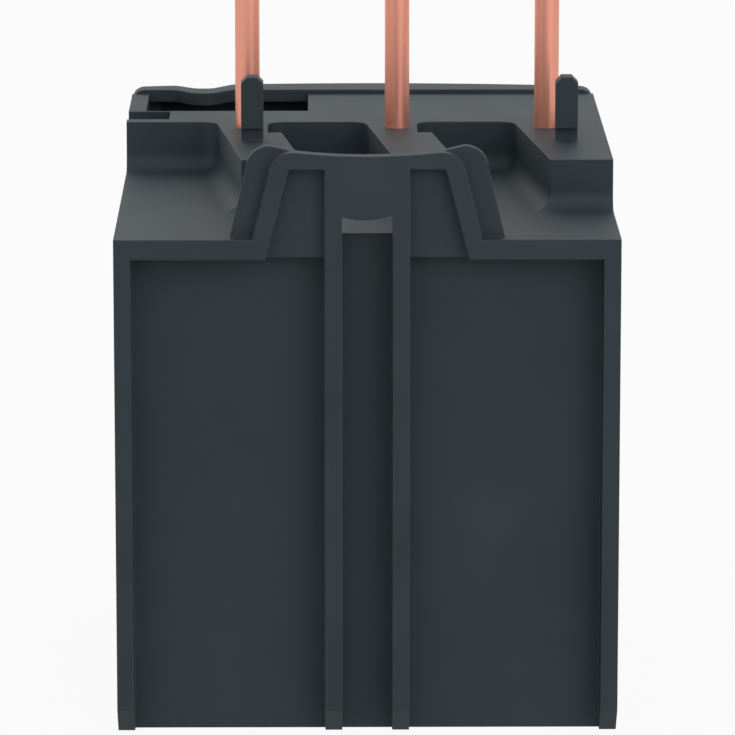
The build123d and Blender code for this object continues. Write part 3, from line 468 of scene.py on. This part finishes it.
@dataclass
class ClampScrews:
    """Combination-head screws of a row of terminals, wound back to take a wire. Lengths are millimetres."""

    node: str
    count: int
    pitch: float
    shank_radius: float
    head_radius: float
    head_height: float
    slot_width: float
    slot_depth: float
    slot_overrun: float = 0.5
    cross_share: float = 0.62
    edge: float = 0.18

    def build(self, wardrobe: Wardrobe) -> None:
        """Builds one screw, copies it to each place and lets the row stand for its node.

        Args:
            wardrobe: Where the screws' material comes from.
        """
        places = [self.pitch * (i - (self.count - 1) / 2) for i in range(self.count)]
        screw = self._screw(places[0])
        row = [screw]
        for x in places[1:]:
            copy = screw.copy()
            copy.data = screw.data.copy()
            copy.location.x = (x - places[0]) * MM
            bpy.context.scene.collection.objects.link(copy)
            row.append(copy)
        piece = join(f"{self.node}_row", row)
        dress(piece, wardrobe.material(SCREW))
        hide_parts(self.node)
        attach(piece, "case")
        log.info("%s: %d screws", piece.name, len(row))

    def _screw(self, x: float) -> bpy.types.Object:
        """Builds a head with its slot and shorter cross, and the shank behind it.

        Args:
            x: Where the screw's axis stands along X.

        Returns:
            The screw.
        """
        low, high = in_millimetres(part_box(self.node))
        face = low.y
        length = high.y - low.y
        axis = Vector((x, 0, (low.z + high.z) / 2))
        screw = rod("screw", axis + Vector((0, face + self.head_height / 2, 0)), self.head_radius,
                    self.head_height)
        head_width = self.head_radius * 2
        for wide, tall in ((head_width + self.slot_overrun * 2, self.slot_width),
                           (self.slot_width, head_width * self.cross_share)):
            slot = bar("slot", axis + Vector((0, face, 0)), (wide, self.slot_depth * 2, tall))
            combine(screw, slot, Joining.CUT)
        shank = rod("shank", axis + Vector((0, face + length / 2 + self.head_height / 2, 0)),
                    self.shank_radius, length - self.head_height)
        combine(screw, shank, Joining.FUSE)
        soften(screw, self.edge)
        return screw


@dataclass
class ButtonSpring:
    """The round-wire coil spring round a button's stem. Lengths are millimetres."""

    node: str
    joint: str
    wire: float = 0.5
    wire_sides: int = 10
    turns: int = 6
    turn_steps: int = 24
    crease_deg: float = 60.0
    keep: float = 0.77

    def build(self, wardrobe: Wardrobe) -> None:
        """Winds the coil, stands it behind its button and lets it stand for the plain one.

        Args:
            wardrobe: Where the wire's material comes from.
        """
        low, high = in_millimetres(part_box(self.node))
        coil = self._coil((high.x - low.x) / 2 - self.wire / 2, high.y - low.y - self.wire)
        coil.rotation_euler = (pi / 2, 0, 0)
        coil.location = Vector(((low.x + high.x) / 2, high.y - self.wire / 2, (low.z + high.z) / 2)) * MM
        coil = settle(coil.name)
        dress(coil, wardrobe.material(SPRING))
        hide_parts(self.node)
        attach(coil, "case")
        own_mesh(coil)
        log.info("%s: %d turns", coil.name, self.turns)

    def _coil(self, radius: float, rise: float) -> bpy.types.Object:
        """Winds a circle of wire about Z by a Screw modifier.

        Args:
            radius: From the coil's axis to the wire's middle.
            rise: How far the wire climbs over all its turns.

        Returns:
            The coil.
        """
        bpy.ops.object.select_all(action="DESELECT")
        bpy.ops.mesh.primitive_circle_add(vertices=self.wire_sides, radius=self.wire / 2 * MM,
                                          location=(radius * MM, 0, 0), rotation=(pi / 2, 0, 0),
                                          fill_type="NOTHING")
        coil = settle(f"{self.node}_coil")
        wind = coil.modifiers.new("wind", "SCREW")
        wind.steps = self.turn_steps
        wind.render_steps = self.turn_steps
        wind.iterations = self.turns
        wind.screw_offset = rise / self.turns * MM
        bpy.ops.object.modifier_apply(modifier=wind.name)
        bpy.ops.object.mode_set(mode="EDIT")
        bpy.ops.mesh.select_all(action="SELECT")
        bpy.ops.mesh.normals_make_consistent(inside=False)
        bpy.ops.object.mode_set(mode="OBJECT")
        bpy.ops.object.shade_smooth_by_angle(angle=radians(self.crease_deg))
        return coil


@dataclass
class ControlMarks:
    """Printed marks: scale and numbers of the dial, and the selector's dots. Lengths are millimetres."""

    tick_inner: float = 6.75
    tick_outer: float = 7.25
    tick_width: float = 0.22
    tick_gaps: int = 12
    scale_top_deg: float = 90.0
    numbers: int = 5
    number_size: float = 1.7
    number_radius: float = 4.9
    dot_radius: float = 0.4
    dot_sides: int = 24
    dot_gap: float = 1.5
    cover_face: float = -31.0
    ink: float = 0.03

    def build(self, wardrobe: Wardrobe) -> None:
        """Prints the marks on the cover and on the dial.

        Args:
            wardrobe: Where the inks come from.
        """
        dial_low, dial_high = in_millimetres(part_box("setting_dial"))
        centre = (dial_low + dial_high) / 2
        scale = join("control_marks", self._ticks(centre) + self._dots())
        dress(scale, wardrobe.material(INK))
        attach(scale, "case")
        numbers = [self._number(i, centre, dial_low.y) for i in range(self.numbers)]
        dial = join("dial_numbers", numbers)
        dress(dial, wardrobe.material(DARK_INK))
        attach(dial, "dial")
        log.info("control marks: %d ticks, %d numbers", self.tick_gaps + 1, self.numbers)

    def _angle(self, step: int, steps: int) -> float:
        """Gives the angle of a step on the dial's scale, which runs clockwise over the dial's whole swing.

        Args:
            step: Which step.
            steps: How many steps the scale has.

        Returns:
            The angle from the X axis, in radians.
        """
        turn = next(j for j in frame["record"]["behaviour"]["joints"] if j["name"] == "dial_turn")
        swing = turn["range_deg"][1]
        return radians(self.scale_top_deg + swing - 2 * swing * step / steps)

    def _ticks(self, centre: Vector) -> list[bpy.types.Object]:
        """Prints the scale's ticks round the dial.

        Args:
            centre: The dial's middle.

        Returns:
            The ticks.
        """
        middle = (self.tick_inner + self.tick_outer) / 2
        ticks = []
        for i in range(self.tick_gaps + 1):
            angle = self._angle(i, self.tick_gaps)
            place = Vector((centre.x + middle * cos(angle), self.cover_face - self.ink / 2,
                            centre.z + middle * sin(angle)))
            size = (self.tick_outer - self.tick_inner, self.ink, self.tick_width)
            ticks.append(bar("tick", place, size, -angle))
        return ticks

    def _dots(self) -> list[bpy.types.Object]:
        """Prints a dot above and a dot beside the mode selector, one for each of its positions.

        Returns:
            The dots.
        """
        low, high = in_millimetres(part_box("mode_selector"))
        middle = (low + high) / 2
        reach = (high.x - low.x) / 2 + self.dot_gap
        return [rod("dot", Vector((middle.x + dx, self.cover_face - self.ink / 2, middle.z + dz)),
                    self.dot_radius, self.ink, self.dot_sides) for dx, dz in ((0, reach), (reach, 0))]

    def _number(self, i: int, centre: Vector, face: float) -> bpy.types.Object:
        """Prints one number upright on the dial's face.

        Args:
            i: The number's place in the row.
            centre: The dial's middle.
            face: Where the dial's face is along Y.

        Returns:
            The number as a mesh.
        """
        angle = self._angle(i, self.numbers - 1)
        place = Vector((centre.x + self.number_radius * cos(angle), face - self.ink / 2,
                        centre.z + self.number_radius * sin(angle)))
        bpy.ops.object.select_all(action="DESELECT")
        bpy.ops.object.text_add(location=place * MM, rotation=(pi / 2, 0, 0))
        text = bpy.context.object
        text.data.body = str(i + 1)
        text.data.size = self.number_size * MM
        text.data.align_x = "CENTER"
        text.data.align_y = "CENTER"
        text.data.extrude = self.ink / 2 * MM
        bpy.ops.object.convert(target="MESH")
        return settle("number")


@dataclass(frozen=True)
class Lamp:
    """A square soft lamp that faces the object. Lengths are millimetres, and the energy is in watts."""

    name: str
    place: tuple[float, float, float]
    size: float
    energy: float
    aim: tuple[float, float, float] = (0.0, 0.0, 25.0)

    def build(self) -> None:
        """Adds the lamp to the scene."""
        lamp = bpy.data.lights.new(self.name, "AREA")
        lamp.size = self.size * MM
        lamp.energy = self.energy
        holder = bpy.data.objects.new(self.name, lamp)
        bpy.context.scene.collection.objects.link(holder)
        holder.location = Vector(self.place) * MM
        aim = Vector(self.aim) * MM - holder.location
        holder.rotation_euler = aim.to_track_quat("-Z", "Y").to_euler()


@dataclass
class Studio:
    """The camera at the photograph's place, a pale floor and plain soft light.

    Lengths are millimetres, and the camera's angles are radians.
    """

    eye: tuple[float, float, float] = (4.135, 522.153, 135.025)
    down: float = 0.2045
    turn: float = 0.0085
    lens: float = 274.3
    sensor: float = 36.0
    near: float = 10.0
    far: float = 10000.0
    floor_size: float = 4000.0
    floor_colour: str = "#7c7c7c"
    floor_glow: float = 1.08
    floor_glow_share: float = 0.86
    room_strength: float = 1.05
    room_white: float = 1.0
    lamps: tuple[Lamp, ...] = (
        Lamp("key_lamp", (-380.0, 640.0, 360.0), 420.0, 1.5),
        Lamp("top_lamp", (0.0, -170.0, 700.0), 380.0, 0.15),
        Lamp("fill_lamp", (420.0, -420.0, 380.0), 480.0, 0.4),
    )

    def build(self) -> None:
        """Sets up camera, floor, world and lamps."""
        scene = bpy.context.scene
        scene.view_settings.view_transform = "Standard"
        self._camera(scene)
        self._floor()
        self._room(scene)
        for lamp in self.lamps:
            lamp.build()

    def _camera(self, scene: bpy.types.Scene) -> None:
        """Adds the camera and makes it the scene's.

        Args:
            scene: The scene.
        """
        lens = bpy.data.cameras.new("camera")
        lens.sensor_width = self.sensor
        lens.lens = self.lens
        lens.clip_start = self.near * MM
        lens.clip_end = self.far * MM
        camera = bpy.data.objects.new("camera", lens)
        scene.collection.objects.link(camera)
        level = cos(self.down)
        forward = Vector((-sin(self.turn) * level, -cos(self.turn) * level, -sin(self.down)))
        camera.location = Vector(self.eye) * MM
        camera.rotation_euler = forward.to_track_quat("-Z", "Y").to_euler()
        scene.camera = camera

    def _floor(self) -> None:
        """Adds a floor that looks almost white, with the object's soft shadow on it."""
        bpy.ops.object.select_all(action="DESELECT")
        bpy.ops.mesh.primitive_plane_add(size=self.floor_size * MM)
        floor = bpy.context.object
        floor.name = "floor"
        material = bpy.data.materials.new("paper_floor")
        material.use_nodes = True
        tree = material.node_tree
        tree.nodes.clear()
        share = add_node(tree, "ShaderNodeMath", {0: self._seen(tree), 1: self.floor_glow_share},
                         {"operation": "MULTIPLY"}).outputs[0]
        paper = add_node(tree, "ShaderNodeBsdfDiffuse", {"Color": linear(self.floor_colour)}).outputs[0]
        glow = add_node(tree, "ShaderNodeEmission", {
            "Color": (1, 1, 1, 1), "Strength": self.floor_glow}).outputs[0]
        mix = add_node(tree, "ShaderNodeMixShader", {0: share, 1: paper, 2: glow}).outputs[0]
        add_node(tree, "ShaderNodeOutputMaterial", {"Surface": mix})
        dress(floor, material)

    def _room(self, scene: bpy.types.Scene) -> None:
        """Lights the object evenly from a white room, which is plain white where it is seen.

        Args:
            scene: The scene.
        """
        world = bpy.data.worlds.new("room")
        world.use_nodes = True
        tree = world.node_tree
        tree.nodes.clear()
        light = add_node(tree, "ShaderNodeMapRange", {
            "Value": self._seen(tree), "To Min": self.room_strength, "To Max": self.room_white}).outputs[0]
        room = add_node(tree, "ShaderNodeBackground", {"Color": (1, 1, 1, 1), "Strength": light}).outputs[0]
        add_node(tree, "ShaderNodeOutputWorld", {"Surface": room})
        scene.world = world

    def _seen(self, tree: bpy.types.NodeTree) -> bpy.types.NodeSocket:
        """Marks the rays that show a surface to the camera: straight, through glass or in a reflection.

        Args:
            tree: The node tree that needs the mark.

        Returns:
            1 on such a ray and 0 on the others.
        """
        rays = add_node(tree, "ShaderNodeLightPath").outputs
        seen = rays["Is Camera Ray"]
        for mark in ("Is Transmission Ray", "Is Glossy Ray"):
            seen = add_node(tree, "ShaderNodeMath", {0: seen, 1: rays[mark]},
                            {"operation": "MAXIMUM"}).outputs[0]
        return seen


def main() -> None:
    """Builds the scene in order and reports each piece."""
    logging.basicConfig(level=logging.INFO, format="%(name)s: %(message)s")
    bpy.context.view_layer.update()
    wardrobe = Wardrobe()
    wardrobe.dress_nodes()
    ClampScrews("power_screws", count=3, pitch=14.06, shank_radius=2.0, head_radius=3.1, head_height=2.0,
                slot_width=1.1, slot_depth=1.0).build(wardrobe)
    ClampScrews("aux_screws", count=4, pitch=10.8, shank_radius=1.5, head_radius=2.7, head_height=1.6,
                slot_width=0.9, slot_depth=0.8).build(wardrobe)
    ButtonSpring("reset_spring", "reset_press").build(wardrobe)
    ButtonSpring("stop_spring", "stop_press").build(wardrobe)
    ControlMarks().build(wardrobe)
    Studio().build()


if __name__ == "__main__":
    main()
